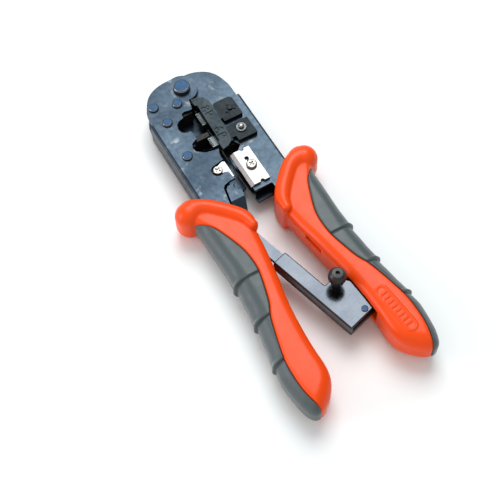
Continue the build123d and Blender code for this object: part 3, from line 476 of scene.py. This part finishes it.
def blued_plate():
    """Blued sheet steel: clouds of tone, a few pale worn patches, fine scratches."""
    material, tree, shader = finish("blued_plate", Metallic=1.0)
    broad = spread(tree, noise(tree, 38, 3, 0.5), [
        (0.36, (0.024, 0.036, 0.050)), (0.64, (0.046, 0.066, 0.086)),
    ])
    worn = spread(tree, noise(tree, 120, 4, 0.6), [
        (0.60, (0, 0, 0)), (0.78, (0.16, 0.155, 0.14)),
    ])
    lift = tree.nodes.new("ShaderNodeMix")
    lift.data_type = "RGBA"
    lift.blend_type = "ADD"
    lift.inputs["Factor"].default_value = 0.8
    tree.links.new(broad, lift.inputs["A"])
    tree.links.new(worn, lift.inputs["B"])
    tree.links.new(lift.outputs["Result"], shader.inputs["Base Color"])
    tree.links.new(between(tree, noise(tree, 420, 4), 0.28, 0.44), shader.inputs["Roughness"])
    bump(tree, shader, noise(tree, 1500, 3, 0.6, (1, 3, 1)), 0.10, 0.00006)
    return material


def rivet_head(name, crown, painted_rim_colour):
    """Blued rivet with a dark polished crown and a painted highlight on its rim, lighter where the surface
    turns away from straight up.
    """
    material, tree, shader = finish(name, Metallic=1.0, Roughness=0.26)
    # Painted highlight: the rim is coloured lighter than the crown by surface direction, as if it caught
    # the light.
    crown_and_painted_rim = facing(tree, [(0.55, painted_rim_colour), (0.93, tuple(c * 0.8 for c in painted_rim_colour)), (0.985, crown)])
    tree.links.new(crown_and_painted_rim, shader.inputs["Base Color"])
    tree.links.new(between(tree, noise(tree, 300, 4), 0.20, 0.34), shader.inputs["Roughness"])
    bump(tree, shader, noise(tree, 900, 3, 0.6), 0.08, 0.00006)
    return material


ORANGE = plastic("orange_plastic", (0.87, 0.070, 0.003), 0.33, 2600, Specular_IOR_Level=0.27)
GREY = plastic(
    "grey_rubber", (0.064, 0.088, 0.091), 0.42, 3200, Specular_IOR_Level=0.42,
    Sheen_Weight=0.30, Sheen_Roughness=0.35, Sheen_Tint=(1.0, 0.93, 0.96, 1),
)
BLACK = plastic("black_plastic", (0.010, 0.011, 0.013), 0.38, 3000)
PLATE = blued_plate()
# Blued rivet colours: the crown, then the painted rim highlight.
RIVET = rivet_head("blued_rivet", (0.016, 0.032, 0.060), (0.22, 0.25, 0.29))
CARRIER = metal(
    "satin_carrier", ((0.010, 0.014, 0.017), (0.018, 0.024, 0.027)),
    0.46, 140, Metallic=0.9,
)
MARKER = metal(
    "satin_marker", ((0.019, 0.026, 0.031), (0.030, 0.039, 0.044)),
    0.42, 140, Metallic=0.95,
)
DIE = metal(
    "black_die", ((0.004, 0.004, 0.005), (0.010, 0.010, 0.010)),
    0.55, Metallic=0.3,
)
PUNCH = metal(
    "ground_punch", ((0.07, 0.085, 0.095), (0.11, 0.125, 0.13)),
    0.40, 200, (1, 6, 1), Metallic=1.0,
)
SCREW = metal(
    "bright_screw", ((0.13, 0.125, 0.12), (0.30, 0.29, 0.27)),
    0.20, 700, Metallic=1.0,
)
BLADE = metal(
    "ground_blade", ((0.27, 0.262, 0.25), (0.33, 0.322, 0.31)),
    0.32, 60, (8, 1, 1), Metallic=0.85,
)
LINK = metal(
    "zinc_link", ((0.056, 0.066, 0.080), (0.088, 0.098, 0.112)),
    0.18, 40, (1, 4, 1), Metallic=1.0,
)
LINK_BASE = metal(
    "black_base", ((0.004, 0.004, 0.005), (0.009, 0.009, 0.010)),
    0.45, Metallic=0.2,
)
# Painted shade: near-black finish for bevelled cut edges, darkening the outlines of plates and blades.
PAINTED_EDGE_SHADE = metal(
    "painted_edge_shade", ((0.003, 0.004, 0.005), (0.008, 0.010, 0.012)),
    0.42, 300, Metallic=0.8,
)

# The finish of every material slot, and of the few nodes that differ from their slot.
SLOT_FINISH = {
    "frame_steel": PLATE, "rivet_steel": RIVET, "die_metal": DIE, "punch_steel": PUNCH,
    "carrier_steel": CARRIER, "screw_steel": SCREW, "blade_steel": BLADE, "grip_orange": ORANGE,
    "grip_grey": GREY, "link_steel": LINK, "link_base": LINK_BASE, "spring_steel": SCREW,
    "pawl_steel": LINK_BASE, "knob_black": BLACK,
}
NODE_FINISH = {
    "marker_plate": MARKER, "moving_handle_core": DIE, "carrier_nut": PUNCH, "carrier_pin": CARRIER,
}
# Sheet parts whose cut edges get painted shade: a near-black finish on their bevels that darkens their
# outlines.
SHADE_PAINTED_PARTS = {
    "fixed_front_plate", "moving_front_plate", "carrier_8", "carrier_6", "marker_plate", "cutter_blade",
    "stop_block", "ratchet_cover", "stripping_blade",
}
# Width of the broken edges, in millimetres.
PLAIN_EDGE = 0.12
EDGE_BREAK = {
    "fixed_front_plate": 0.34, "moving_front_plate": 0.34, "carrier_8": 0.34, "carrier_6": 0.34,
    "marker_plate": 0.26, "cutter_blade": 0.10, "stripping_blade": 0.08, "ratchet_cover": 0.22,
    "ratchet_base": 0.2, "ratchet_bar": 0.15, "stop_block": 0.3,
}


def dress(node):
    """Gives a CAD node the finish of its slot and breaks its sharp edges; on the listed sheet parts the
    broken edges carry painted shade.
    """
    piece = nodes[node]
    slot = next(s["material_slot"] for s in frame["record"]["subparts"] if s["node"] == node)
    piece.data.materials.clear()
    piece.data.materials.append(NODE_FINISH.get(node, SLOT_FINISH[slot]))
    edges = piece.modifiers.new("edge_break", "BEVEL")
    edges.width = EDGE_BREAK.get(node, PLAIN_EDGE) * MM
    edges.segments = 2
    edges.limit_method = "ANGLE"
    edges.angle_limit = radians(40)
    # Painted shade on the bevels of these sheet parts.
    if node in SHADE_PAINTED_PARTS:
        piece.data.materials.append(PAINTED_EDGE_SHADE)
        edges.material = 1
    piece.data.shade_smooth()
    piece.data.set_sharp_from_angle(angle=radians(32))


# ---- the two handles ----------------------------------------------------------------------
def make_handle(side, body, shape, prefix):
    """Hard grip and soft skin of one handle."""
    low, high = handle_box(side, *HARD_BOX)
    hard = moulding(prefix + "_hard_grip", mirrored(shape, side), low, high, HARD_STEP)
    low, high = handle_box(side, *SKIN_BOX)
    skin = moulding(prefix + "_soft_skin", mirrored(soft_skin, side), low, high, SKIN_STEP)
    for piece, material, slot, node in (
        (hard, ORANGE, "grip_orange", prefix + "_grip"),
        (skin, GREY, "grip_grey", prefix + "_overmould"),
    ):
        piece.data.materials.append(material)
        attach(piece, body)
        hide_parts(node)


for node in nodes:
    dress(node)
make_handle(-1, "fixed_side", fixed_hard, "fixed")
make_handle(1, "moving_side", moving_hard, "moving")


# ---- studio -------------------------------------------------------------------------------
STAGE_MIDDLE = Vector((0.0, -0.09, 0.01))
FLOOR_REACH = 3.0
FLOOR_DROP = 0.0002         # keeps the floor clear of the faces that rest on it
CAMERA_PLACE = Vector((-127.4, -314.8, 454.6)) * MM
CAMERA_TARGET = Vector((-17.4, -103.1, 17.3)) * MM
CAMERA_LENS = 74.07
CAMERA_ROLL = radians(-2.71)


def area_light(name, place, target, size, power, colour=(1, 1, 1)):
    """A soft square lamp aimed at a point."""
    data = bpy.data.lights.new(name, "AREA")
    data.shape = "SQUARE"
    data.size = size
    data.energy = power
    data.color = colour
    lamp = bpy.data.objects.new(name, data)
    lamp.location = place
    lamp.rotation_euler = (Vector(target) - Vector(place)).to_track_quat("-Z", "Y").to_euler()
    bpy.context.scene.collection.objects.link(lamp)


def studio_world():
    """Even white room, a little warm to the left and darker to the right."""
    world = bpy.data.worlds.new("studio_world")
    world.use_nodes = True
    tree = world.node_tree
    place = tree.nodes.new("ShaderNodeTexCoord")
    parts = tree.nodes.new("ShaderNodeSeparateXYZ")
    half = tree.nodes.new("ShaderNodeMapRange")
    half.inputs["From Min"].default_value = -1
    tree.links.new(place.outputs["Generated"], parts.inputs["Vector"])
    tree.links.new(parts.outputs["X"], half.inputs["Value"])
    tone = spread(tree, half.outputs["Result"], [
        (0.05, (0.80, 0.68, 0.54)), (0.35, (0.70, 0.69, 0.67)), (0.65, (0.66, 0.68, 0.71)),
        (0.95, (0.14, 0.15, 0.17)),
    ])
    tree.links.new(tone, tree.nodes["Background"].inputs["Color"])
    tree.nodes["Background"].inputs["Strength"].default_value = 0.95
    bpy.context.scene.world = world


def studio_floor():
    """A pale plain floor just below the tool."""
    r = FLOOR_REACH
    mesh = bpy.data.meshes.new("studio_floor")
    mesh.from_pydata([(-r, -r, 0), (r, -r, 0), (r, r, 0), (-r, r, 0)], [], [(0, 1, 2, 3)])
    floor = bpy.data.objects.new("studio_floor", mesh)
    floor.location.z = -FLOOR_DROP
    material, tree, shader = finish("floor_white", Roughness=0.9)
    tone = spread(tree, noise(tree, 3, 2), [(0.3, (0.90, 0.945, 0.95)), (0.7, (0.92, 0.96, 0.965))])
    tree.links.new(tone, shader.inputs["Base Color"])
    mesh.materials.append(material)
    bpy.context.scene.collection.objects.link(floor)


def studio():
    """Two soft lamps, a white room and a floor."""
    middle = STAGE_MIDDLE
    area_light("key_lamp", middle + Vector((0.30, 0.50, 0.95)), middle, 0.75, 9.5)
    area_light("side_lamp", middle + Vector((-1.2, 0.45, 0.40)), middle, 0.55, 6, (0.84, 0.82, 1.0))
    studio_world()
    bpy.context.scene.view_settings.view_transform = "Standard"
    studio_floor()


def camera():
    """The studio camera: three quarters from above, a little to the left of the handles."""
    data = bpy.data.cameras.new("camera")
    data.sensor_width = 36.0
    data.lens = CAMERA_LENS
    data.clip_start, data.clip_end = 0.05, 20.0
    view = bpy.data.objects.new("camera", data)
    view.location = CAMERA_PLACE
    view.rotation_mode = "QUATERNION"
    aim = (CAMERA_TARGET - CAMERA_PLACE).to_track_quat("-Z", "Y")
    view.rotation_quaternion = aim @ Quaternion((0, 0, 1), CAMERA_ROLL)
    bpy.context.scene.collection.objects.link(view)
    bpy.context.scene.camera = view


studio()
camera()
